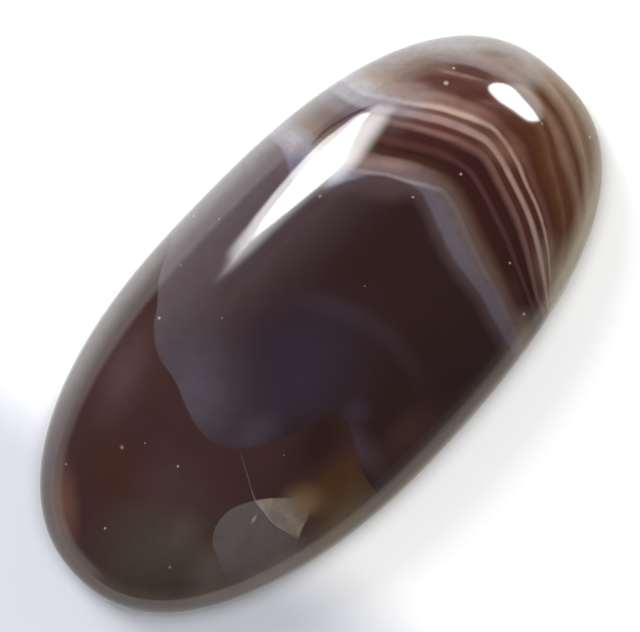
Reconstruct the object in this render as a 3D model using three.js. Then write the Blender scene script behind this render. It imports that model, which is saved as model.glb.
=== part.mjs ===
// A polished banded agate cabochon: one solid oval stone with a domed top, a soft lower edge and a
// flat back that it rests on. Millimetres, +Z up. The origin is the middle of the flat back, and +X
// runs along the stone to the end that carries the fine bands.
import * as THREE from "three";

// Driving dimensions of the stone.
const LENGTH = 40;
const WIDTH = 20;
const GIRDLE_HEIGHT = 1.5; // from the flat back up to the widest line
const DOME_RISE = 5; // from the girdle up to the top of the dome
const BACK_INSET = 0.8; // how far the soft lower edge draws in to the flat back
const OUTLINE_POWER = 2.33; // 2 is a plain ellipse, more fills out the shoulders
const DOME_POWER = 2.4; // 2 is a plain elliptical dome, more flattens its top

// The stone was ground by hand, so its outline strays a little from the true oval. Each entry is a
// wave around the girdle: how many waves, how far it strays in millimetres, and where it peaks.
const HAND_GRINDING = [
  { waves: 2, stray: 0.08, peak: THREE.MathUtils.degToRad(80) },
  { waves: 3, stray: 0.06, peak: THREE.MathUtils.degToRad(170) },
  { waves: 5, stray: 0.08, peak: THREE.MathUtils.degToRad(-155) },
];

// How finely the curved faces are divided.
const STEPS_AROUND = 120;
const DOME_RINGS = 20;
const EDGE_RINGS = 5;

// The girdle's point at an angle around the stone, seen from above.
function girdlePoint(angle) {
  const c = Math.cos(angle);
  const s = Math.sin(angle);
  const reach =
    (Math.abs(c) ** OUTLINE_POWER + Math.abs(s) ** OUTLINE_POWER) ** (-1 / OUTLINE_POWER);
  const point = new THREE.Vector2((LENGTH / 2) * reach * c, (WIDTH / 2) * reach * s);
  const stray = HAND_GRINDING.reduce(
    (sum, wave) => sum + wave.stray * Math.cos(wave.waves * angle - wave.peak),
    0,
  );
  return point.multiplyScalar(1 + stray / point.length());
}

// The direction that faces straight out from the girdle there.
function girdleNormal(angle) {
  const nudge = 1e-4;
  const along = girdlePoint(angle + nudge).sub(girdlePoint(angle - nudge));
  return new THREE.Vector2(along.y, -along.x).normalize();
}

// The rings of the stone from the back's rim up to just under the top. Each ring gives, for an
// angle around the stone, the point of the surface there.
function surfaceRings() {
  const rings = [];
  for (let i = 0; i < EDGE_RINGS; i++) {
    const climb = (i / EDGE_RINGS) * (Math.PI / 2);
    const inset = BACK_INSET * (1 - Math.sin(climb));
    const height = GIRDLE_HEIGHT * (1 - Math.cos(climb));
    rings.push((angle) => {
      const point = girdlePoint(angle).addScaledVector(girdleNormal(angle), -inset);
      return [point.x, point.y, height];
    });
  }
  for (let i = 0; i < DOME_RINGS; i++) {
    const climb = (i / DOME_RINGS) * (Math.PI / 2);
    const spread = Math.cos(climb) ** (2 / DOME_POWER);
    const height = GIRDLE_HEIGHT + DOME_RISE * Math.sin(climb);
    rings.push((angle) => {
      const point = girdlePoint(angle).multiplyScalar(spread);
      return [point.x, point.y, height];
    });
  }
  return rings;
}

// One closed surface: the back's centre, the rings, and the top of the dome, set with its middle over
// the origin.
function stoneGeometry() {
  const rings = surfaceRings();
  const positions = [0, 0, 0];
  for (const ring of rings) {
    for (let j = 0; j < STEPS_AROUND; j++) {
      positions.push(...ring((j / STEPS_AROUND) * 2 * Math.PI));
    }
  }
  const backCentre = 0;
  const top = positions.length / 3;
  positions.push(0, 0, GIRDLE_HEIGHT + DOME_RISE);

  const at = (ring, step) => 1 + ring * STEPS_AROUND + (step % STEPS_AROUND);
  const last = rings.length - 1;
  const faces = [];
  for (let j = 0; j < STEPS_AROUND; j++) {
    faces.push(backCentre, at(0, j + 1), at(0, j));
    for (let i = 0; i < last; i++) {
      faces.push(at(i, j), at(i, j + 1), at(i + 1, j + 1));
      faces.push(at(i, j), at(i + 1, j + 1), at(i + 1, j));
    }
    faces.push(at(last, j), at(last, j + 1), top);
  }

  const geometry = new THREE.BufferGeometry();
  geometry.setAttribute("position", new THREE.Float32BufferAttribute(positions, 3));
  geometry.setIndex(faces);
  geometry.computeBoundingBox();
  const middle = geometry.boundingBox.getCenter(new THREE.Vector3());
  geometry.translate(-middle.x, -middle.y, 0);
  geometry.computeVertexNormals();
  return geometry;
}

// Dark brown agate with a high polish.
const polishedAgate = new THREE.MeshStandardMaterial({
  color: 0x3f2b28,
  roughness: 0.08,
  metalness: 0,
});

const stone = new THREE.Mesh(stoneGeometry(), polishedAgate);
stone.name = "agate_cabochon";

const cabochon = new THREE.Group();
cabochon.add(stone);

export default cabochon;
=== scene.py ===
"""A polished banded agate cabochon: one oval stone, its markings, and the table and windows around it.

The stone's sizes are in millimetres in the row frame, and become metres when its mesh is made. +X runs
along the stone to the end with the fine bands, +Y across it, and +Z up out of the domed face.
"""

import math

import bpy
import numpy as np
from mathutils import Matrix, Vector


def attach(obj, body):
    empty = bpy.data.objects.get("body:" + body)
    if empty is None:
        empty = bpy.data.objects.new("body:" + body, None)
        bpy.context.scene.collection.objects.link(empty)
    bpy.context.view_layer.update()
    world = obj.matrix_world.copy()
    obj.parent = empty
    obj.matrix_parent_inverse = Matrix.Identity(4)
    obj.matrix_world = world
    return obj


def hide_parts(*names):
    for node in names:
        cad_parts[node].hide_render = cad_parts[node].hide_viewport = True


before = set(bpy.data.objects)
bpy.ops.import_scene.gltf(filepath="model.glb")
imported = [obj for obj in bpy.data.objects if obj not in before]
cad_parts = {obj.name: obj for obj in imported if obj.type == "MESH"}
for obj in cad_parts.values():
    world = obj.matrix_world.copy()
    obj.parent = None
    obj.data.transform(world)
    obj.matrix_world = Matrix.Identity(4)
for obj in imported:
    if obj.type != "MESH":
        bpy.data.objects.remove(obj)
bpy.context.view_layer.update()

MM = 0.001

# The stone's sizes, the same as the solid's.
LENGTH = 40.0
WIDTH = 20.0
GIRDLE_HEIGHT = 1.5
DOME_RISE = 5.0
BACK_INSET = 0.8
OUTLINE_POWER = 2.33
DOME_POWER = 2.4
HAND_GRINDING = [(2, 0.08, 80), (3, 0.06, 170), (5, 0.08, -155)]  # waves, stray, peak in degrees

# How finely the stone's mesh is divided.
CELLS_ALONG = 280
CELLS_ACROSS = 140
SIDE_RINGS = 8
DOME_STEPS = 600  # straight steps that the dome's curve is measured in
CURVE_STEPS = 6  # straight steps from one point of a marking's line to the next
SOLID_STEPS_AROUND = 120  # how finely the solid's girdle is divided
FIT_IN_SOLID = 0.9998  # the fine stone keeps just inside the coarser solid's box
NUDGE = 1e-4  # a small step around the girdle, in radians, for its direction there

# Where the photograph was taken from.
PICTURE_WIDTH_PX = 640
PX_PER_MM = 17.43  # at the girdle
SENSOR_WIDTH = 36.0
CAMERA_DISTANCE = 250.0
STONE_TURN = math.radians(46.3)  # from the picture's right up to the stone's +X
CAMERA_LEAN = math.radians(6)  # from straight above towards the picture's bottom
FRAME_MIDDLE = 0.55  # how far the picture's middle lies above the stone's


def girdle(angle):
    """The widest line of the stone at these angles, seen from above."""
    c, s = np.cos(angle), np.sin(angle)
    reach = (np.abs(c) ** OUTLINE_POWER + np.abs(s) ** OUTLINE_POWER) ** (-1 / OUTLINE_POWER)
    x, y = LENGTH / 2 * reach * c, WIDTH / 2 * reach * s
    stray = sum(far * np.cos(waves * angle - math.radians(peak)) for waves, far, peak in HAND_GRINDING)
    grow = 1 + stray / np.hypot(x, y)
    return x * grow, y * grow


def inside_girdle(angle, inset):
    """The girdle drawn in square to itself."""
    x, y = girdle(angle)
    x_on, y_on = girdle(angle + NUDGE)
    x_back, y_back = girdle(angle - NUDGE)
    step = np.hypot(x_on - x_back, y_on - y_back)
    return x - inset * (y_on - y_back) / step, y + inset * (x_on - x_back) / step


def girdle_reach(angle):
    """How far the girdle's own line lies from the stone's middle, measured square to the line."""
    x, y = girdle(angle)
    x_on, y_on = girdle(angle + NUDGE)
    return (x * (y_on - y) - y * (x_on - x)) / np.hypot(x_on - x, y_on - y)


def girdle_middle():
    """The middle of the girdle's box, which the solid is centred on."""
    x, y = girdle(np.linspace(0, 2 * math.pi, SOLID_STEPS_AROUND + 1))
    return (x.max() + x.min()) / 2, (y.max() + y.min()) / 2


MIDDLE_X, MIDDLE_Y = girdle_middle()


def dome_climb(share):
    """How far up the dome a point is, from its share of the way out along the surface."""
    mean_reach = (LENGTH + WIDTH) / 4
    climb = np.linspace(math.pi / 2, 0, DOME_STEPS)
    out = mean_reach * np.cos(climb) ** (2 / DOME_POWER)
    up = DOME_RISE * np.sin(climb)
    way = np.concatenate([[0], np.cumsum(np.hypot(np.diff(out), np.diff(up)))])
    return np.interp(share, way / way[-1], climb)


def dome_height(x, y):
    """The height of the domed face over a point of the stone."""
    x, y = np.asarray(x) + MIDDLE_X, np.asarray(y) + MIDDLE_Y
    angle = np.arctan2(y / WIDTH, x / LENGTH)
    share = np.hypot(x, y) / np.hypot(*girdle(angle))
    return GIRDLE_HEIGHT + DOME_RISE * np.sqrt(np.clip(1 - share**DOME_POWER, 0, 1))


def oval_grid():
    """A rectangle's grid pulled out into an oval: each point's share of the way out, and its angle."""
    u, v = np.meshgrid(np.linspace(-1, 1, CELLS_ALONG + 1), np.linspace(-1, 1, CELLS_ACROSS + 1))
    end = np.abs(u) > np.abs(v)
    share = np.where(end, np.abs(u), np.abs(v))
    slant = math.pi / 4 * np.where(end, v, u) / np.where(share > 0, np.where(end, u, v), 1)
    from_end = np.where(u > 0, slant, math.pi + slant)
    from_flank = np.where(v > 0, math.pi / 2 - slant, -math.pi / 2 - slant)
    return share.ravel(), np.where(end, from_end, from_flank).ravel()


def grid_border():
    """The grid's outer points, once round against the clock."""
    row = CELLS_ALONG + 1
    first_row = np.arange(row)
    last_column = np.arange(1, CELLS_ACROSS + 1) * row + CELLS_ALONG
    last_row = CELLS_ACROSS * row + np.arange(CELLS_ALONG - 1, -1, -1)
    first_column = np.arange(CELLS_ACROSS - 1, 0, -1) * row
    return np.concatenate([first_row, last_column, last_row, first_column])


def stone_points():
    """The points of the face, the lower edge's rings and the back, with how deep each one lies under
    the domed face and how far inside the girdle."""
    share, angle = oval_grid()
    climb = dome_climb(share)
    spread = np.cos(climb) ** (2 / DOME_POWER)
    x, y = girdle(angle)
    face = np.stack([x * spread, y * spread, GIRDLE_HEIGHT + DOME_RISE * np.sin(climb)], 1)

    border_angle = angle[grid_border()]
    rings = []
    for ring in range(1, SIDE_RINGS):
        drop = ring / SIDE_RINGS * math.pi / 2
        x, y = inside_girdle(border_angle, BACK_INSET * (1 - math.cos(drop)))
        rings.append(np.stack([x, y, np.full_like(x, GIRDLE_HEIGHT * (1 - math.sin(drop)))], 1))

    x, y = inside_girdle(angle, BACK_INSET)
    back = np.stack([x * share, y * share, np.zeros_like(x)], 1)

    reach = girdle_reach(angle)
    border_inset = np.zeros((SIDE_RINGS - 1) * len(border_angle))
    inside_rim = np.concatenate([(1 - spread) * reach, border_inset, (1 - share) * reach])

    points = np.concatenate([face, *rings, back])
    points[:, :2] = (points[:, :2] - (MIDDLE_X, MIDDLE_Y)) * FIT_IN_SOLID
    depth = np.zeros(len(points))
    side = slice(len(face), len(points) - len(back))
    depth[side] = GIRDLE_HEIGHT - points[side, 2]
    depth[-len(back) :] = dome_height(points[-len(back) :, 0], points[-len(back) :, 1])
    return points, depth, inside_rim


def stone_faces():
    """The quads that join those points into one closed surface, all facing out."""
    row = CELLS_ALONG + 1
    grid_size = row * (CELLS_ACROSS + 1)
    corner = (np.arange(CELLS_ACROSS)[:, None] * row + np.arange(CELLS_ALONG)).ravel()
    face = np.stack([corner, corner + 1, corner + row + 1, corner + row], 1)

    border = grid_border()
    around = len(border)
    back_start = grid_size + (SIDE_RINGS - 1) * around
    loops = [border]
    loops += [grid_size + ring * around + np.arange(around) for ring in range(SIDE_RINGS - 1)]
    loops += [back_start + border]
    sides = []
    for upper, lower in zip(loops, loops[1:]):
        upper_on, lower_on = np.roll(upper, -1), np.roll(lower, -1)
        sides.append(np.stack([upper, lower, lower_on, upper_on], 1))
    return np.concatenate([face, *sides, back_start + face[:, ::-1]])


# The markings are lines over the stone seen from above, in millimetres.

# The border of the dark field with the pale band beside it, from the left flank to the right one.
DARK_BORDER = [
    (5.7, 11.5), (5.65, 9.6), (5.55, 8.4), (5.1, 7.5), (4.7, 6.7), (4.75, 5.9), (5.6, 4.8), (6.9, 4.05),
    (7.9, 3.4), (8.65, 2.25), (9.05, 1.0), (8.7, -0.35), (8.1, -1.7), (7.6, -3.1), (7.35, -4.7),
    (7.2, -5.8), (6.8, -6.95), (6.5, -8.3), (6.4, -9.5), (6.4, -11.5),
]
# The thin milky ridge just inside the pale band.
MILKY_RIDGE = [
    (6.1, 11.5), (6.1, 8.6), (6.2, 7.3), (6.5, 6.2), (7.0, 5.1), (7.6, 4.1), (8.4, 2.9), (9.05, 1.7),
    (9.7, 0.55), (9.95, -0.1), (9.85, -0.9), (9.5, -1.85), (8.9, -3.3), (8.35, -4.8), (7.9, -6.4),
    (7.3, -8.1), (6.95, -9.5), (6.7, -11.5),
]
# The fine bands' guide lines, from the pale band's outer edge out to the round end.
PALE_BAND_EDGE = [
    (7.7, 11.5), (7.7, 9.0), (7.85, 7.2), (8.2, 5.5), (9.0, 3.95), (10.0, 2.25), (10.65, 0.7),
    (10.85, -0.3), (10.6, -1.4), (9.9, -3.2), (9.3, -4.9), (8.75, -6.5), (8.2, -8.0), (7.8, -9.5),
    (7.4, -11.5),
]
FAINT_LINE = [
    (8.8, 11.5), (8.9, 8.7), (9.2, 6.4), (9.9, 4.4), (10.9, 2.7), (11.65, 1.1), (11.95, -0.3),
    (11.6, -1.75), (11.15, -3.1), (10.65, -4.5), (10.0, -5.95), (9.3, -7.5), (8.65, -9.0), (8.0, -11.5),
]
THIRD_LINE = [
    (9.6, 11.5), (9.65, 8.8), (9.9, 6.95), (10.65, 5.15), (11.55, 3.5), (12.3, 1.95), (12.95, 0.65),
    (13.2, -0.2), (13.05, -1.1), (12.6, -2.3), (11.9, -4.15), (11.0, -5.75), (10.1, -7.1),
    (9.4, -8.4), (8.6, -11.5),
]
SECOND_LINE = [
    (10.3, 11.5), (10.25, 8.2), (10.5, 6.8), (11.35, 5.4), (12.2, 4.1), (12.95, 2.85), (13.45, 1.6),
    (13.8, 0.2), (13.65, -0.9), (13.3, -2.1), (12.7, -3.8), (12.0, -5.3), (11.2, -6.6), (10.4, -7.8),
    (9.5, -9.2), (8.8, -11.5),
]
FIRST_LINE = [
    (11.2, 11.5), (11.05, 9.1), (10.9, 7.8), (11.1, 6.9), (11.8, 5.8), (12.6, 4.55), (13.4, 3.35),
    (14.0, 2.15), (14.5, 1.0), (14.68, 0.3), (14.55, -0.7), (14.2, -1.9), (13.65, -3.1), (13.15, -4.45),
    (12.5, -5.65), (11.75, -6.75), (10.7, -7.95), (9.7, -9.1), (9.0, -11.5),
]
OUTER_LINE = [
    (12.4, 11.5), (12.55, 8.7), (12.7, 7.4), (13.55, 6.0), (14.85, 4.9), (15.6, 3.7), (16.0, 2.2),
    (16.55, 0.5), (16.88, -1.0), (16.6, -2.1), (15.7, -3.4), (14.8, -4.85), (13.9, -6.1), (12.6, -7.25),
    (11.3, -8.1), (9.95, -9.0), (9.1, -11.5),
]
JAGGED_LINE = [
    (13.4, 11.5), (13.6, 8.2), (14.5, 7.0), (15.5, 5.6), (16.1, 4.35), (16.9, 3.2), (17.35, 1.85),
    (17.58, 0.5), (17.45, -0.7), (17.0, -2.05), (16.1, -3.75), (15.4, -5.25), (14.45, -6.5),
    (13.25, -7.5), (11.9, -8.2), (10.4, -8.95), (9.2, -11.5),
]
BROWN_LINE = [
    (14.6, 11.5), (15.2, 7.8), (16.3, 6.05), (17.65, 4.2), (18.25, 3.0), (18.3, 1.5), (18.2, 0.0),
    (17.8, -2.0), (17.0, -3.8), (16.0, -5.3), (14.8, -6.7), (13.5, -7.7), (11.4, -8.7), (9.3, -11.5),
]
RIM_LINE = [
    (16.2, 11.5), (16.9, 6.6), (17.9, 5.1), (18.9, 3.15), (19.3, 1.2), (19.2, -0.2), (18.65, -2.2),
    (17.6, -4.15), (16.3, -5.8), (15.0, -7.05), (13.7, -7.95), (12.0, -9.0), (9.4, -11.5),
]
STONE_END = [
    (18.0, 11.5), (18.2, 7.0), (19.6, 4.0), (20.3, 0.0), (19.6, -3.6), (18.0, -6.0), (16.0, -7.9),
    (13.0, -9.6), (9.5, -11.7),
]
BAND_GUIDES = [
    DARK_BORDER, PALE_BAND_EDGE, FAINT_LINE, THIRD_LINE, SECOND_LINE, FIRST_LINE, OUTER_LINE,
    JAGGED_LINE, BROWN_LINE, RIM_LINE, STONE_END,
]
# The outline of the blue-grey lobe, which fills the middle of the stone up to the dark border.
LOBE_OUTLINE = [
    (-1.6, 11.5), (-2.3, 9.5), (-4.4, 8.4), (-5.75, 7.25), (-7.1, 6.2), (-7.9, 4.9), (-8.25, 3.3),
    (-8.75, 2.2), (-9.15, 1.1), (-9.33, -0.2), (-9.0, -1.15), (-8.4, -1.95), (-7.3, -2.75),
    (-6.1, -3.3), (-4.8, -3.83), (-3.8, -3.98), (-3.35, -4.4), (-3.18, -5.1), (-3.6, -6.0),
    (-4.15, -6.85), (-4.6, -7.8), (-4.8, -8.8), (-4.9, -11.5),
]
# The painted dark reflection of the tall window's frame, beside its streak, between the milky flank and the
# fine bands.
FRAME_REFLECTION_LINE = [
    (3.6, 6.6), (4.8, 6.95), (5.7, 7.18), (6.2, 7.26), (7.25, 7.25), (8.3, 7.2), (9.55, 6.85),
    (10.55, 6.47), (11.6, 6.0),
]
# A hazy arc through the dark middle.
HAZE_ARC = [
    (-3.4, 2.9), (-2.2, 2.4), (-0.1, 1.45), (1.15, -0.85), (1.95, -3.55), (1.75, -5.7), (1.35, -6.9),
    (1.0, -8.5),
]
# The border of the clear oval, up its right side and back down its left one.
OVAL_EDGE = [
    (-11.0, -8.6), (-9.75, -7.65), (-8.6, -7.25), (-8.0, -6.9), (-7.95, -6.4), (-8.5, -5.8), (-9.3, -5.0),
    (-10.15, -4.35), (-11.2, -3.85), (-12.25, -3.8), (-13.1, -4.15), (-13.6, -4.8), (-13.9, -5.6),
    (-14.2, -6.4), (-14.4, -8.0),
]
CRACK = [
    (-8.6, -2.0), (-9.1, -2.95), (-9.55, -3.7), (-9.95, -4.45), (-10.05, -5.15), (-10.15, -6.0),
    (-10.0, -6.85), (-9.8, -7.6), (-9.5, -9.0),
]
MARKING_LINES = {
    "past_dark_border": DARK_BORDER,
    "past_ridge": MILKY_RIDGE,
    "in_lobe": LOBE_OUTLINE,
    "past_flank_line": FRAME_REFLECTION_LINE,
    "past_haze_arc": HAZE_ARC,
    "in_oval": OVAL_EDGE,
    "past_crack": CRACK,
}
BAND_TILT = 0.25  # how far the markings lean over with depth


def smooth_line(points):
    """A curve through the points, as short straight steps."""
    p = np.array([points[0], *points, points[-1]])
    t = (np.arange(CURVE_STEPS) / CURVE_STEPS)[:, None]
    spans = []
    for a, b, c, d in zip(p, p[1:], p[2:], p[3:]):
        bend = (2 * a - 5 * b + 4 * c - d) * t**2 + (3 * b - a - 3 * c + d) * t**3
        spans.append(0.5 * (2 * b + (c - a) * t + bend))
    return np.concatenate([*spans, p[-1:]])


def distance_past(places, points):
    """How far each place lies past a marking's line, towards the banded end; short of it is negative."""
    line = smooth_line(points)
    nearest = np.full(len(places), np.inf)
    past = np.zeros(len(places))
    for start, end in zip(line, line[1:]):
        run = end - start
        away = places - start
        along = np.clip(away @ run / (run @ run), 0, 1)
        gap = ((away - along[:, None] * run) ** 2).sum(1)
        side = run[0] * away[:, 1] - run[1] * away[:, 0]
        closer = gap < nearest
        nearest = np.where(closer, gap, nearest)
        past = np.where(closer, np.sign(side), past)
    return past * np.sqrt(nearest)


def band_count(places):
    """Where each place lies among the guide lines: 2.5 is midway from the third to the fourth."""
    gaps = [distance_past(places, guide) for guide in BAND_GUIDES]
    count = gaps[0]
    for step, (inner, outer) in enumerate(zip(gaps, gaps[1:])):
        between = inner / np.maximum(inner - outer, 1e-6)
        count = np.where(inner > 0, step + np.clip(between, 0, 1), count)
    return count


def stone_markings(points, depth, inside_rim):
    """The measures over the stone that its colours are laid out by."""
    places = points[:, :2] + np.stack([BAND_TILT * depth, np.zeros_like(depth)], 1)
    marks = {"bands": band_count(places), "inside_rim": inside_rim}
    for name, guide in MARKING_LINES.items():
        marks[name] = distance_past(places, guide)
    return marks


def add_measure(mesh, name, values):
    """Give each of the mesh's points a value that a material can read."""
    layer = mesh.attributes.new(name, "FLOAT", "POINT")
    layer.data.foreach_set("value", values.astype(np.float32))


def make_stone():
    """The stone's own mesh, with the measures of its markings."""
    points, depth, inside_rim = stone_points()
    mesh = bpy.data.meshes.new("agate_stone")
    mesh.from_pydata((points * MM).tolist(), [], stone_faces().tolist())
    mesh.validate()
    mesh.shade_smooth()
    for name, values in stone_markings(points, depth, inside_rim).items():
        add_measure(mesh, name, values)
    stone = bpy.data.objects.new("agate_stone", mesh)
    bpy.context.scene.collection.objects.link(stone)
    return stone


# How a colour that is seen in the stone becomes the stone's own colour.
LIGHT_ON_STONE = 1.25  # how much brighter than its own colour the stone looks under the lamps
SHEEN = 0.006  # what the polish mirrors from the dim room
LIGHT_ON_FLANK = 1.6  # the same two for its left flank, which faces the lamp and a bright wall
FLANK_SHEEN = 0.06


def tone(code, sheen=SHEEN, light=LIGHT_ON_STONE):
    """The stone's own colour where it looks like this code: 0x3f2b28 is a dark brown."""
    parts = [(code >> shift & 255) / 255 for shift in (16, 8, 0)]
    seen = [p / 12.92 if p <= 0.04045 else ((p + 0.055) / 1.055) ** 2.4 for p in parts]
    return (*[max(p - sheen, 0.002) / light for p in seen], 1.0)


def flank_tone(code, sheen=FLANK_SHEEN):
    """The same for a colour on the left flank."""
    return tone(code, sheen, LIGHT_ON_FLANK)


class Value:
    """A value that changes over a surface. Sums on it add Math nodes to its material."""

    def __init__(self, bench, socket):
        self.bench = bench
        self.socket = socket

    def __add__(self, other):
        return self.bench.sum_of("ADD", self, other)

    def __radd__(self, other):
        return self.bench.sum_of("ADD", other, self)

    def __sub__(self, other):
        return self.bench.sum_of("SUBTRACT", self, other)

    def __rsub__(self, other):
        return self.bench.sum_of("SUBTRACT", other, self)

    def __mul__(self, other):
        return self.bench.sum_of("MULTIPLY", self, other)

    def __rmul__(self, other):
        return self.bench.sum_of("MULTIPLY", other, self)

    def __truediv__(self, other):
        return self.bench.sum_of("DIVIDE", self, other)

    def __abs__(self):
        return self.bench.sum_of("ABSOLUTE", self)


class Bench:
    """Where the nodes of one material, or of the light all around, are put together."""

    def __init__(self, tree):
        self.tree = tree
        tree.nodes.clear()

    def node(self, kind, settings, inputs, output=0):
        """One node: its settings, then the values or links of its sockets. Gives one of its outputs."""
        made = self.tree.nodes.new(kind)
        for name, setting in settings.items():
            if name == "stops":
                self.set_stops(made.color_ramp, setting)
            else:
                setattr(made, name, setting)
        for name, value in inputs.items():
            if isinstance(value, Value):
                self.tree.links.new(value.socket, made.inputs[name])
            else:
                made.inputs[name].default_value = value
        return Value(self, made.outputs[output]) if made.outputs else None

    def set_stops(self, ramp, stops):
        """A ramp's stops, each a place from 0 to 1 and its colour."""
        while len(ramp.elements) < len(stops):
            ramp.elements.new(1.0)
        for element, (at, colour) in zip(ramp.elements, stops):
            element.position = at
            element.color = colour

    def sum_of(self, operation, *values):
        """One Math node on these values."""
        return self.node("ShaderNodeMath", {"operation": operation}, dict(enumerate(values)))

    def most_of(self, first, second):
        return self.sum_of("MAXIMUM", first, second)

    def least_of(self, first, second):
        return self.sum_of("MINIMUM", first, second)

    def measure(self, name):
        """One of the measures that the stone's mesh carries."""
        return self.node("ShaderNodeAttribute", {"attribute_name": name}, {}, "Fac")

    def part_of(self, vector, axis):
        """A vector's X, Y or Z."""
        return self.node("ShaderNodeSeparateXYZ", {}, {0: vector}, axis)

    def rise(self, value, low, high):
        """0 up to low and 1 from high, rising smoothly between."""
        settings = {"interpolation_type": "SMOOTHSTEP"}
        inputs = {"Value": value, "From Min": low, "From Max": high}
        return self.node("ShaderNodeMapRange", settings, inputs)

    def line(self, value, at, half_width, softness):
        """1 where the value is near at, over a line that fades at its sides."""
        return self.rise(abs(value - at), half_width + softness, half_width)

    def cloud(self, place, size, detail=2.0, seed=0.0):
        """Soft random patches of about that size, from 0 to 1, mostly near 0.5."""
        settings = {"noise_dimensions": "4D"}
        inputs = {"Vector": place, "W": seed, "Scale": 1 / size, "Detail": detail}
        return self.node("ShaderNodeTexNoise", settings, inputs)

    def patch(self, place, middle, size, turn=0.0, edge=1.0):
        """1 in the middle of an oval patch, easing to 0 at its border over that share of its size."""
        inputs = {
            "Vector": place,
            "Location": (*middle, 0.0),
            "Rotation": (0, 0, math.radians(turn)),
            "Scale": (*size, 1.0),
        }
        spot = self.node("ShaderNodeMapping", {"vector_type": "TEXTURE"}, inputs)
        away = self.node("ShaderNodeVectorMath", {"operation": "LENGTH"}, {0: spot}, "Value")
        return self.rise(away, 1.0, 1.0 - edge)

    def ramp(self, value, stops):
        """Colours laid out by a value that runs from 0 to the last stop."""
        last = stops[-1][0]
        shares = [(at / last, colour) for at, colour in stops]
        return self.node("ShaderNodeValToRGB", {"stops": shares}, {0: value / last})

    def mix(self, amount, under, over):
        """One colour laid over another."""
        inputs = {0: amount, 6: under, 7: over}
        return self.node("ShaderNodeMix", {"data_type": "RGBA"}, inputs, 2)

    def patches(self, place, colour, spots, edge=1.0):
        """Soft patches laid one after another over a colour."""
        for middle, size, turn, amount, code in spots:
            colour = self.mix(amount * self.patch(place, middle, size, turn, edge), colour, tone(code))
        return colour


# Colours of the brown bands.
BLUE_GREY = tone(0x5E565E)
MAUVE_GREY = tone(0x61575D)
TAN = tone(0x61514F)
TAWNY = tone(0x59463F)
WARM_BROWN = tone(0x462C26)
DARK_BROWN = tone(0x361E1B)
FAINT_ROSE = tone(0x503432)
DIM_ROSE = tone(0x6B4D46)
MAROON = tone(0x4A2B26)
ROSE = tone(0x9A7F75)
PALE_ROSE = tone(0xA08070)
ROSE_BROWN = tone(0x644339)
CHESTNUT = tone(0x4C2A1E)
UMBER = tone(0x5A3826)
HAZEL = tone(0x6A4A36)
GREY_TAN = tone(0x836654)
PALE_TAN = tone(0x9A826D)
CREAM = tone(0xAEA08C)
PALE_CREAM = tone(0xB5A993)
MILKY = tone(0x8F8184)

# Colours of the same bands where they turn up towards the left flank.
SMOKY_ROSE = tone(0x715E5E)
SMOKY_BROWN = tone(0x68534C)
DEEP_ROSE = tone(0x4E312E)
PLUM = tone(0x412323)
DUSKY_ROSE = tone(0x7C5C55)
RUSSET = tone(0x58352F)
WARM_ROSE = tone(0x9A7D75)
COPPER = tone(0x6C4B42)
SHELL = tone(0xB79C8E)
OLD_ROSE = tone(0x85635A)
DARK_MAROON = tone(0x603F38)
WINE = tone(0x6E524B)
VIOLET_GREY = tone(0x96878A)
ASH = tone(0xB8B2AE)

# Colours of the same bands where they thin out over the left flank.
DUSK_LILAC = flank_tone(0x8A8291)
LILAC = flank_tone(0x9F9BA7)
PALE_LILAC = flank_tone(0xADA9B1)
FLANK_TAN = flank_tone(0x8F8076)
SMOKE = flank_tone(0x7F706C)
MAUVE = flank_tone(0x8A8084)
MILK = flank_tone(0xC5C2C5)
SAND = flank_tone(0xA5958B)
PEARL = flank_tone(0xC0BBB9)
PINK_TAN = flank_tone(0x9F8E86)
ASHEN = flank_tone(0x958985)
# The painted dark reflection of the tall window's frame.
FRAME_REFLECTION_DARK = tone(0x4A3440)

# Colours of the brown body and of the clear oval in it, with the painted reflection off a facet inside the
# oval.
BODY_BROWN = tone(0x352423)
BODY_RED_BROWN = tone(0x422E2C)
CLEAR_GREY = tone(0x5C5655)
FACET_GLINT_GREY = tone(0x726660)
FACET_GLINT_GOLD = tone(0x928471)
CRACK_PALE = tone(0xA89E94)
HAIRLINE_PALE = tone(0x8C7C70)
STREAK_PALE = tone(0x9A948E)

# Colours of the dark middle, of the pale rim's painted glow and of the flecks.
MIDDLE_DARK = tone(0x2C1D1D)
MIDDLE_RED = tone(0x332222)
LEFT_HAZE = tone(0x5E5358)
BORDER_HAZE = tone(0x64545A)
ARC_HAZE = tone(0x4A4250)
RIM_GLOW_CREAM = tone(0xA89C88)
RIM_GLOW_MILK = flank_tone(0xB0ACAD)
FLECK_PALE = tone(0xC0B4AE)

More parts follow.
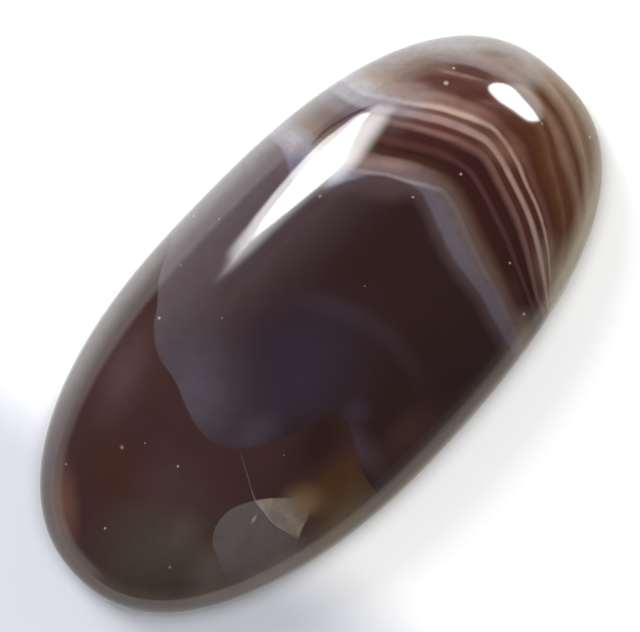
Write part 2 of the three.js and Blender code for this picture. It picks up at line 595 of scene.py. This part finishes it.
# The bands from the dark border out to the round end, by the count of guide lines.
BROWN_BANDS = [
    (0.0, BLUE_GREY), (0.35, MAUVE_GREY), (0.55, TAN), (0.78, TAWNY), (0.98, WARM_BROWN),
    (1.2, DARK_BROWN), (1.75, DARK_BROWN), (1.92, FAINT_ROSE), (2.15, DARK_BROWN), (2.6, DARK_BROWN),
    (2.88, DIM_ROSE), (3.03, DIM_ROSE), (3.2, MAROON), (3.7, MAROON), (3.9, ROSE), (4.12, ROSE),
    (4.38, MAROON), (4.78, MAROON), (4.93, PALE_ROSE), (5.0, PALE_ROSE), (5.09, MAROON),
    (5.2, ROSE_BROWN), (5.42, CHESTNUT), (5.75, UMBER), (5.9, HAZEL), (6.05, UMBER), (6.5, UMBER),
    (7.3, GREY_TAN), (8.0, UMBER), (8.8, PALE_TAN), (9.1, GREY_TAN), (10.0, CREAM),
]
UPPER_BANDS = [
    (0.0, MAUVE_GREY), (0.3, SMOKY_ROSE), (0.65, SMOKY_ROSE), (0.96, SMOKY_BROWN), (1.12, WARM_BROWN),
    (1.6, DARK_BROWN), (1.9, DEEP_ROSE), (2.1, DEEP_ROSE), (2.35, PLUM), (2.8, PLUM), (3.1, DUSKY_ROSE),
    (3.2, DUSKY_ROSE), (3.42, RUSSET), (3.65, RUSSET), (3.85, WARM_ROSE), (4.2, WARM_ROSE),
    (4.45, COPPER), (4.7, COPPER), (4.92, SHELL), (5.04, SHELL), (5.16, OLD_ROSE), (5.35, OLD_ROSE),
    (5.55, DARK_MAROON), (5.72, WINE), (5.86, DARK_MAROON), (6.05, WINE), (6.85, WINE),
    (7.2, VIOLET_GREY), (7.6, ASH), (10.0, ASH),
]
FLANK_BANDS = [
    (0.0, DUSK_LILAC), (0.15, LILAC), (0.35, PALE_LILAC), (0.55, PALE_LILAC), (0.9, FLANK_TAN),
    (1.6, SMOKE), (2.1, SMOKE), (2.7, MAUVE), (3.5, MAUVE), (4.0, PALE_LILAC), (4.9, PALE_LILAC),
    (5.1, MILK), (5.4, PEARL), (5.8, SAND), (6.1, PINK_TAN), (6.8, PINK_TAN), (7.1, ASHEN), (7.4, SAND),
    (8.2, PEARL), (10.0, PEARL),
]

# Soft patches: middle and size in millimetres, turn in degrees, strength, and the colour's looks.
# The olive patch at the plain end and the golden-brown ones by the clear oval's tip are painted glow, light
# coming through the stone; the rest are the body's own colours.
BODY_PATCHES_AND_GLOW = [
    ((-16.0, -2.4), (5.6, 5.0), 0, 0.95, 0x443D34),
    ((-14.0, 2.3), (2.8, 2.8), 0, 0.8, 0x3F261F),
    ((-17.6, 3.2), (1.2, 4.0), -42, 0.9, 0x5E4239),
    ((-12.5, -0.2), (2.6, 3.2), 0, 0.6, 0x453234),
    ((-14.3, -2.9), (2.2, 1.8), 30, 0.7, 0x50463F),
    ((-14.4, -5.6), (2.8, 2.2), 0, 0.9, 0x5A4F48),
    ((-11.3, -7.6), (3.8, 1.8), -8, 0.85, 0x5E544A),
    ((-9.8, 5.9), (4.4, 1.9), 22, 0.8, 0x503C3C),
    ((-6.3, -7.3), (4.4, 2.4), -10, 0.9, 0x513620),
    ((-4.9, -4.7), (4.2, 2.3), 15, 0.8, 0x271916),
    ((-7.2, -8.6), (3.8, 1.4), 6, 0.7, 0x5E4F3A),
    ((-8.0, -6.5), (1.8, 1.3), -50, 0.85, 0x705840),
]
LOBE_PATCHES = [
    ((-8.2, 2.4), (5.8, 5.4), 0, 0.95, 0x4D454E),
    ((-2.6, -0.9), (6.4, 5.6), 0, 0.75, 0x302B37),
    ((-4.8, -1.9), (3.8, 1.7), -31, 0.3, 0x322E3C),
    ((-7.3, -1.9), (2.6, 1.6), -14, 0.85, 0x403943),
    ((-2.5, -5.2), (1.2, 1.2), 0, 0.6, 0x3E3340),
    ((7.7, 2.3), (2.6, 1.0), -52, 0.5, 0x5A4647),
    ((-3.8, -6.9), (1.4, 3.0), 0, 0.8, 0x4A3A42),
    ((-1.3, -8.2), (3.6, 1.8), 0, 0.8, 0x452F29),
]
BAND_PATCHES = [
    ((5.5, 7.1), (1.3, 0.8), 0, 0.85, 0x625D74),
    ((6.6, 4.7), (1.6, 0.8), -40, 0.75, 0x9094A4),
    ((9.0, 3.2), (2.4, 0.55), -52, 0.8, 0x8A726B),
    ((12.7, 5.7), (2.6, 0.9), -54, 0.6, 0x8C6E66),
    ((18.2, 2.5), (2.9, 1.6), -66, 0.88, 0x8B756A),
    ((18.0, 3.6), (1.7, 0.8), -48, 0.88, 0x88786E),
    ((18.1, 3.4), (1.5, 0.35), -52, 0.6, 0x75645B),
    ((14.2, -0.8), (2.0, 1.3), -75, 0.42, 0x96705F),
    ((11.4, -7.1), (2.4, 1.3), 44, 0.35, 0x9A8C7C),
    ((7.9, -8.4), (1.3, 0.9), 40, 0.5, 0x74665C),
    ((8.9, -6.9), (1.8, 0.5), 64, 0.4, 0x4C3325),
]
# The dark smear behind the small window, with a thin rose line through it.
SMEAR_PATCHES = [
    ((15.2, 3.4), (3.2, 0.8), -60, 0.85, 0x553430),
    ((16.3, 3.65), (1.8, 0.45), -64, 0.85, 0x583A36),
    ((15.3, 2.6), (1.1, 0.5), -50, 0.6, 0x52302A),
    ((15.7, 3.95), (1.9, 0.16), -60, 0.45, 0x9A7C74),
]
# Painted glow: the golden tip of the clear oval, where light comes through the stone.
OVAL_TIP_GLOW = [((-8.4, -6.5), (1.2, 0.9), -50, 0.6, 0x756147)]

# Where some markings show at all: middle and size in millimetres, turn in degrees, and how much of that
# fades at the border.
SMEAR_REACH = ((14.9, 4.7), (3.4, 1.7), -59, 1.0)
FRAME_REFLECTION_REACH = ((9.0, 6.9), (2.8, 1.4), 0, 0.6)
OVAL_REACH = ((-11.0, -5.0), (5.0, 4.2), -20, 0.6)
CRACK_REACH = ((-9.95, -5.7), (0.9, 2.4), 0, 0.8)
HAIRLINE_REACH = ((-9.2, -3.4), (1.2, 2.2), 0, 0.8)
STREAK_REACH = ((-10.76, -5.14), (0.36, 0.13), 12, 0.8)
ARC_REACH = ((0.5, -2.5), (3.0, 6.0), 0, 0.6)

# Small pale flecks: where they lie, and their size.
FLECKS = [
    (8.55, 0.91, 0.1), (11.42, -0.12, 0.11), (9.71, -5.58, 0.1), (14.76, 4.18, 0.2), (15.76, 4.49, 0.12),
    (19.54, -1.82, 0.12), (18.43, -3.78, 0.12), (-11.58, -0.02, 0.09), (-16.91, 0.63, 0.1),
    (-0.56, 9.42, 0.1), (-6.25, 6.6, 0.12), (8.3, -8.1, 0.12),
]
FAINT_FLECKS = [
    (2.99, -0.64, 0.07), (-11.92, 2.23, 0.08), (-12.97, 3.04, 0.16), (-15.96, -3.54, 0.12),
    (-15.82, 4.78, 0.1), (-7.02, -3.91, 0.07), (0.2, 8.13, 0.09), (4.98, 4.76, 0.16),
    (-3.2, 7.85, 0.1), (-3.86, 3.95, 0.08),
]
FAR_FROM_FLECKS = 9.0  # in flecks' sizes

AGATE_IOR = 1.54
HAND_POLISH = 0.000003  # metres: how far the polished skin strays from smooth


def band_colour(bench, place, flat):
    """The bands: brown and rose across the stone, milky and lilac where they reach the left flank."""
    across = bench.part_of(place, "Y")
    strays = bench.cloud(place, 1.2) - 0.5
    count = bench.measure("bands") + 0.08 * strays
    brown = bench.ramp(count, BROWN_BANDS)
    brown = bench.mix(bench.rise(across, -0.3, 2.2), brown, bench.ramp(count, UPPER_BANDS))
    right_end = bench.rise(count - 1.6 * across, 16.2, 20.0)
    brown = bench.mix(0.85 * right_end, brown, PALE_CREAM)

    # The milky left flank. It keeps off the smear, and takes in the rim beyond it.
    smear = bench.patch(flat, *SMEAR_REACH)
    flank = bench.rise(across + strays - 0.4 * bench.rise(count, 3.8, 2.6), 2.8, 7.0) * (1 - 0.9 * smear)
    rim_part = bench.rise(across, 2.2, 5.0) * bench.rise(count, 6.7, 7.4)
    colour = bench.mix(bench.most_of(flank, rim_part), brown, bench.ramp(count, FLANK_BANDS))

    # Faint growth lines, the soft patches, then the ridge and the painted dark reflection of the window's
    # frame.
    growth = bench.node("ShaderNodeTexNoise", {"noise_dimensions": "1D"}, {"W": count * 2.2, "Detail": 1.5})
    colour = bench.mix(0.15 * bench.rise(growth, 0.4, 0.9), colour, DARK_BROWN)
    colour = bench.patches(flat, colour, BAND_PATCHES)
    colour = bench.patches(flat, colour, SMEAR_PATCHES, 0.6)
    ridge = bench.line(bench.measure("past_ridge") + 0.1 * strays, 0.0, 0.03, 0.2)
    colour = bench.mix(ridge * (0.12 + 0.6 * bench.rise(across, -0.6, 1.6)), colour, MILKY)
    # Painted dark reflection of the tall window's frame, beside its streak.
    frame_reflection = bench.line(bench.measure("past_flank_line") + 0.1 * strays, 0.0, 0.04, 0.1)
    frame_reflection = frame_reflection * bench.patch(flat, *FRAME_REFLECTION_REACH)
    return bench.mix(0.8 * frame_reflection, colour, FRAME_REFLECTION_DARK)


def body_colour(bench, place, flat):
    """The brown body with its warm and olive patches, some of them painted glow, and the clear oval near
    the plain end with a painted reflection in it.
    """
    brown = bench.mix(bench.cloud(place, 4.0, seed=2.0), BODY_BROWN, BODY_RED_BROWN)
    brown = bench.patches(flat, brown, BODY_PATCHES_AND_GLOW)

    # The clear oval. Past the crack a facet inside it mirrors some light, painted into the colour as a
    # reflection.
    strays = 0.06 * (bench.cloud(place, 0.8, seed=3.0) - 0.5)
    inside = bench.rise(bench.measure("in_oval") + strays, -0.04, 0.06)
    inside = inside * bench.rise(bench.part_of(place, "X"), -7.9, -9.1)
    clear = inside * bench.patch(flat, *OVAL_REACH)
    brown = bench.mix(0.9 * clear, brown, CLEAR_GREY)
    past_crack = bench.measure("past_crack") + strays
    facet_glint = inside * bench.rise(past_crack, -0.03, 0.08)
    streaks = bench.cloud(place, 0.9, 4.0, seed=5.0)
    shine = bench.mix(bench.rise(streaks, 0.4, 0.75), FACET_GLINT_GREY, FACET_GLINT_GOLD)
    brown = bench.mix(0.85 * facet_glint, brown, shine)
    brown = bench.patches(flat, brown, OVAL_TIP_GLOW)
    # The crack itself, its fine end beyond the oval, and a short streak beside it.
    crack = bench.line(past_crack, 0.0, 0.0, 0.05) * bench.patch(flat, *CRACK_REACH)
    brown = bench.mix(0.6 * crack, brown, CRACK_PALE)
    hairline = bench.line(past_crack, 0.0, 0.0, 0.06) * bench.patch(flat, *HAIRLINE_REACH)
    brown = bench.mix(0.25 * hairline, brown, HAIRLINE_PALE)
    streak = bench.patch(flat, *STREAK_REACH)
    return bench.mix(0.7 * streak, brown, STREAK_PALE)


def lobe_colour(bench, place, flat):
    """The dark middle of the stone, hazed with blue-grey towards its left outline."""
    dark = bench.mix(bench.cloud(place, 4.0, seed=4.0), MIDDLE_DARK, MIDDLE_RED)
    left = bench.rise(bench.part_of(place, "Y"), 0.5, 9.0)
    dark = bench.patches(flat, bench.mix(0.8 * left, dark, LEFT_HAZE), LOBE_PATCHES)
    beside_bands = bench.rise(bench.measure("past_dark_border"), -0.9, 0.0)
    dark = bench.mix(0.38 * beside_bands, dark, BORDER_HAZE)
    arc = bench.line(bench.measure("past_haze_arc"), 0.0, 0.1, 0.9)
    arc = arc * bench.patch(flat, *ARC_REACH)
    return bench.mix(0.16 * arc, dark, ARC_HAZE)


def painted_rim_glow(bench, place, colour):
    """Painted glow: the stone lets light through where it is thin, most of all on its left flank, and that
    light is painted into its colour.
    """
    thin = bench.rise(bench.measure("inside_rim"), 1.5, 0.5)
    along = bench.part_of(place, "X")
    across = bench.part_of(place, "Y")
    left = bench.rise(across, -2.0, 6.0) * bench.rise(along, -17.5, -9.0)
    rim = bench.mix(bench.rise(across, -2.0, 4.0), RIM_GLOW_CREAM, RIM_GLOW_MILK)
    return bench.mix(thin * (0.13 + 0.34 * left), colour, rim)


def flecks(bench, flat, spots):
    """1 in each small ragged fleck."""
    nearest = FAR_FROM_FLECKS
    for x, y, size in spots:
        inputs = {0: flat, 1: (x, y, 0.0)}
        away = bench.node("ShaderNodeVectorMath", {"operation": "DISTANCE"}, inputs, "Value")
        nearest = bench.least_of(away / size, nearest)
    return bench.rise(nearest + bench.cloud(flat, 0.1), 1.5, 0.6)


def agate():
    """The stone's material: its markings from the middle out, under one high polish."""
    material = bpy.data.materials.new("polished_agate")
    material.use_nodes = True
    bench = Bench(material.node_tree)
    metres = bench.node("ShaderNodeTexCoord", {}, {}, "Object")
    scale = {0: metres, "Scale": 1 / MM}
    place = bench.node("ShaderNodeVectorMath", {"operation": "SCALE"}, scale)
    flat = bench.node("ShaderNodeVectorMath", {"operation": "MULTIPLY"}, {0: place, 1: (1.0, 1.0, 0.0)})
    strays = bench.cloud(place, 1.5, seed=6.0) - 0.5

    colour = body_colour(bench, place, flat)
    in_lobe = bench.rise(bench.measure("in_lobe") + 0.15 * strays, -0.05, 0.06)
    colour = bench.mix(in_lobe, colour, lobe_colour(bench, place, flat))
    past_border = bench.rise(bench.measure("past_dark_border") + 0.15 * strays, -0.12, 0.16)
    colour = bench.mix(past_border, colour, band_colour(bench, place, flat))
    # Painted glow of the light that comes through the thin rim.
    colour = painted_rim_glow(bench, place, colour)
    mottle = bench.rise(bench.cloud(place, 0.7, 4.0, seed=8.0), 0.4, 0.8)
    colour = bench.mix(0.2 * mottle, colour, DARK_BROWN)
    colour = bench.mix(0.7 * flecks(bench, flat, FLECKS), colour, FLECK_PALE)
    colour = bench.mix(0.3 * flecks(bench, flat, FAINT_FLECKS), colour, FLECK_PALE)

    roughness = 0.03 + 0.05 * bench.cloud(place, 2.5, 3.0, seed=10.0)
    waviness = {"Height": bench.cloud(place, 1.6, 1.0, seed=12.0), "Distance": HAND_POLISH, "Strength": 1.0}
    skin = bench.node("ShaderNodeBump", {}, waviness)
    inputs = {"Base Color": colour, "Roughness": roughness, "IOR": AGATE_IOR, "Normal": skin}
    shader = bench.node("ShaderNodeBsdfPrincipled", {}, inputs)
    bench.node("ShaderNodeOutputMaterial", {}, {"Surface": shader})
    return material


# The table, the windows and the lamps, in metres.
TABLE_REACH = 0.6
TABLE_DROP = 0.00002  # the table lies this little under the stone's flat back
CEILING_HEIGHT = 1.2
SIDE_LIGHT_DISTANCE = 0.7
WINDOW_DISTANCE = 1.0
WINDOW_GRID = 0.5  # degrees
WINDOW_BRIGHTNESS = 26.0
WHITE_PAPER = (0.86, 0.86, 0.86, 1)
# Painted shade on the paper, and the paper as the polish mirrors it: painted warmer near the stone's right
# and dark further out.
SHADED_PAPER = (0.5, 0.51, 0.56, 1)
WARM_PAPER = (0.8, 0.73, 0.65, 1)
DARK_PAPER = (0.08, 0.08, 0.08, 1)
ROOM_GLOW = 0.13
BACKDROP_GLOW = 0.85  # what the camera itself sees beyond the table
# Each window's panes: outline as directions from the stone (degrees round from +X, and degrees up),
# how many degrees its edge takes to fade, and how bright it is beside the brightest.
TALL_WINDOW = [
    (
        [(62, 34), (64.8, 30.4), (67, 31), (69, 32.6), (72, 33.8), (75.7, 35.2), (78.8, 38.2), (81.4, 41.3),
         (83.2, 44.5), (83, 48.5), (75.5, 52), (66.5, 52), (64.6, 46), (63.4, 38), (62, 34)],
        0.9, 1.0,
    ),
    (
        [(63.5, 30.5), (66, 28.3), (70.3, 27.9), (73.7, 27.8), (77, 29.4), (80.2, 32.4), (83, 35.7),
         (84.6, 38.3), (85.6, 42), (85.9, 46.5), (86.4, 49.5), (84.5, 50.5), (82, 48.8), (76, 50.5),
         (66, 50.5), (63, 40), (63.5, 30.5)],
        2.2, 0.5,
    ),
    (
        [(53.2, 47), (53.2, 39.5), (57.5, 33), (61, 29), (70, 36), (73, 44), (72, 56), (64, 59), (58, 57),
         (53.2, 47)],
        9.0, 0.58,
    ),
    (
        [(61.5, 29.5), (71, 33), (78, 41), (86, 44.5), (89, 49.5), (85.8, 53.5), (81, 55.3), (74, 55.8),
         (63.5, 56.5), (57, 54.5), (55.5, 46), (55.5, 38), (58.5, 31.5), (61.5, 29.5)],
        6.5, 0.3,
    ),
]
SMALL_WINDOW = [
    (
        [(-2, 36), (5, 33.2), (9, 31.8), (13, 31.5), (18, 34), (20, 37.5), (17.5, 40.7), (11.5, 42.8),
         (5.5, 42.2), (1, 40.5), (-2, 36)],
        1.4, 1.0,
    ),
    (
        [(-3, 33), (0, 28), (3.5, 24), (9, 24.5), (13, 28), (16, 32), (18, 37), (17, 41), (12, 43.5),
         (6, 43.5), (1, 41), (-3, 37), (-3, 33)],
        5.0, 0.17,
    ),
]


def direction(round_from_x, up):
    """The direction from the stone at these degrees round from +X and up."""
    a, e = math.radians(round_from_x), math.radians(up)
    return Vector((math.cos(a) * math.cos(e), math.sin(a) * math.cos(e), math.sin(e)))


def pane_glow(places, outline, fade, strength):
    """How bright one pane is at these directions."""
    inside = np.clip(distance_past(places, outline) / fade, 0, 1)
    return strength * inside**2 * (3 - 2 * inside)


def glowing(name, brightness):
    """A material that shines as the mesh's own measure of glow says."""
    material = bpy.data.materials.new(name)
    material.use_nodes = True
    bench = Bench(material.node_tree)
    light = bench.mix(bench.measure("glow"), (0, 0, 0, 1), (1, 1, 1, 1))
    shader = bench.node("ShaderNodeEmission", {}, {"Color": light, "Strength": brightness})
    bench.node("ShaderNodeOutputMaterial", {}, {"Surface": shader})
    return material


def make_window(name, panes, brightness):
    """A bright window that only the polish shows, as a grid of points on a ball around the stone."""
    corners = np.concatenate([outline for outline, fade, strength in panes])
    low, high = corners.min(0) - 1, corners.max(0) + 1
    columns = np.arange(low[0], high[0], WINDOW_GRID)
    rows = np.arange(low[1], high[1], WINDOW_GRID)
    places = np.array([(a, e) for e in rows for a in columns])
    corner = (np.arange(len(rows) - 1)[:, None] * len(columns) + np.arange(len(columns) - 1)).ravel()
    faces = np.stack([corner, corner + 1, corner + 1 + len(columns), corner + len(columns)], 1)
    mesh = bpy.data.meshes.new(name)
    mesh.from_pydata([direction(*place) * WINDOW_DISTANCE for place in places], [], faces.tolist())
    add_measure(mesh, "glow", np.max([pane_glow(places, *pane) for pane in panes], axis=0))
    mesh.materials.append(glowing(name, brightness))
    window = bpy.data.objects.new(name, mesh)
    window.visible_camera = False
    window.visible_diffuse = False
    window.visible_shadow = False
    bpy.context.scene.collection.objects.link(window)


def make_table():
    """White paper, with painted shade. The polish sees it fade out to a painted dark on the stone's right,
    where the room is dark.
    """
    mesh = bpy.data.meshes.new("table")
    r = TABLE_REACH
    corners = [(-r, -r, -TABLE_DROP), (r, -r, -TABLE_DROP), (r, r, -TABLE_DROP), (-r, r, -TABLE_DROP)]
    mesh.from_pydata(corners, [], [(0, 1, 2, 3)])
    material = bpy.data.materials.new("white_paper")
    material.use_nodes = True
    bench = Bench(material.node_tree)
    spot = bench.node("ShaderNodeTexCoord", {}, {}, "Object")
    right = 0.35 * bench.part_of(spot, "X") - 0.94 * bench.part_of(spot, "Y")
    mirrored = bench.node("ShaderNodeLightPath", {}, {}, "Is Glossy Ray")
    # Painted dark reflection: the polish sees the paper fade to dark on the stone's right.
    faded = bench.rise(right, 0.0095, 0.034) * mirrored

    # Painted shade: the paper is darkened beside the stone's plain end. Painted reflection: the stone's
    # right side mirrors it warmer.
    dim = bench.rise(bench.part_of(spot, "X") + 0.2 * bench.part_of(spot, "Y"), -0.0095, -0.016)
    away = bench.node("ShaderNodeVectorMath", {"operation": "LENGTH"}, {0: spot}, "Value")
    dim = dim * bench.rise(away, 0.1, 0.03) * (1 - 0.5 * mirrored)
    paper = bench.mix(dim, WHITE_PAPER, SHADED_PAPER)
    paper = bench.mix(0.8 * mirrored * bench.rise(right, 0.0, 0.008), paper, WARM_PAPER)
    paper = bench.mix(faded, paper, DARK_PAPER)
    shader = bench.node("ShaderNodeBsdfPrincipled", {}, {"Base Color": paper, "Roughness": 0.8})
    bench.node("ShaderNodeOutputMaterial", {}, {"Surface": shader})
    mesh.materials.append(material)
    table = bpy.data.objects.new("table", mesh)
    bpy.context.scene.collection.objects.link(table)


def make_lamp(name, place, settings):
    """A soft lamp that faces the stone and that the polish doesn't mirror."""
    data = bpy.data.lights.new(name, "AREA")
    for setting, value in settings.items():
        setattr(data, setting, value)
    lamp = bpy.data.objects.new(name, data)
    lamp.location = place
    lamp.rotation_euler = (-place).to_track_quat("-Z", "Y").to_euler()
    lamp.visible_glossy = False
    lamp.visible_camera = False
    bpy.context.scene.collection.objects.link(lamp)


def light_stone():
    """A wide soft light overhead, and a smaller one low on the stone's left side."""
    ceiling = {"shape": "DISK", "size": 1.2, "energy": 15.5}
    make_lamp("ceiling_light", Vector((0, 0, CEILING_HEIGHT)), ceiling)
    softbox = {"shape": "DISK", "size": 0.4, "energy": 4.4}
    make_lamp("side_light", SIDE_LIGHT_DISTANCE * direction(86, 30), softbox)


def make_room():
    """A dim room overhead, with a bright wall low down on the stone's left side."""
    world = bpy.data.worlds.new("room")
    bpy.context.scene.world = world
    world.use_nodes = True
    bench = Bench(world.node_tree)
    towards = bench.node("ShaderNodeTexCoord", {}, {}, "Generated")
    left = bench.part_of(towards, "Y")
    up = bench.part_of(towards, "Z")
    wall = 0.75 * bench.rise(left, -0.1, 0.1) + 0.7 * bench.rise(left, 0.8, 1.0)
    wall = bench.rise(up, 0.34, 0.2) * wall
    seen = bench.node("ShaderNodeLightPath", {}, {}, "Is Camera Ray")
    strength = ROOM_GLOW + wall
    strength = strength + seen * (BACKDROP_GLOW - strength)
    background = bench.node("ShaderNodeBackground", {}, {"Color": (1, 1, 1, 1), "Strength": strength})
    bench.node("ShaderNodeOutputWorld", {}, {"Surface": background})


def make_camera():
    """The camera, where the photograph was taken from."""
    data = bpy.data.cameras.new("camera")
    data.sensor_width = SENSOR_WIDTH
    data.lens = SENSOR_WIDTH * PX_PER_MM * CAMERA_DISTANCE / PICTURE_WIDTH_PX
    data.clip_start = 0.01
    data.clip_end = 20
    camera = bpy.data.objects.new("camera", data)
    across = Vector((math.cos(STONE_TURN), -math.sin(STONE_TURN), 0))
    ahead = Vector((math.sin(STONE_TURN), math.cos(STONE_TURN), 0))
    back = Vector((0, 0, math.cos(CAMERA_LEAN))) - math.sin(CAMERA_LEAN) * ahead
    up = back.cross(across)
    aim = Vector((0, 0, GIRDLE_HEIGHT)) + FRAME_MIDDLE * up
    turn = Matrix((across, up, back)).transposed().to_4x4()
    camera.matrix_world = Matrix.Translation((aim + back * CAMERA_DISTANCE) * MM) @ turn
    bpy.context.scene.collection.objects.link(camera)
    bpy.context.scene.camera = camera


make_camera()
make_table()
make_window("tall_window", TALL_WINDOW, WINDOW_BRIGHTNESS)
make_window("small_window", SMALL_WINDOW, WINDOW_BRIGHTNESS)
light_stone()
make_room()
bpy.context.scene.view_settings.view_transform = "Standard"

stone = make_stone()
stone.data.materials.append(agate())
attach(stone, "root")
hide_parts("agate_cabochon")
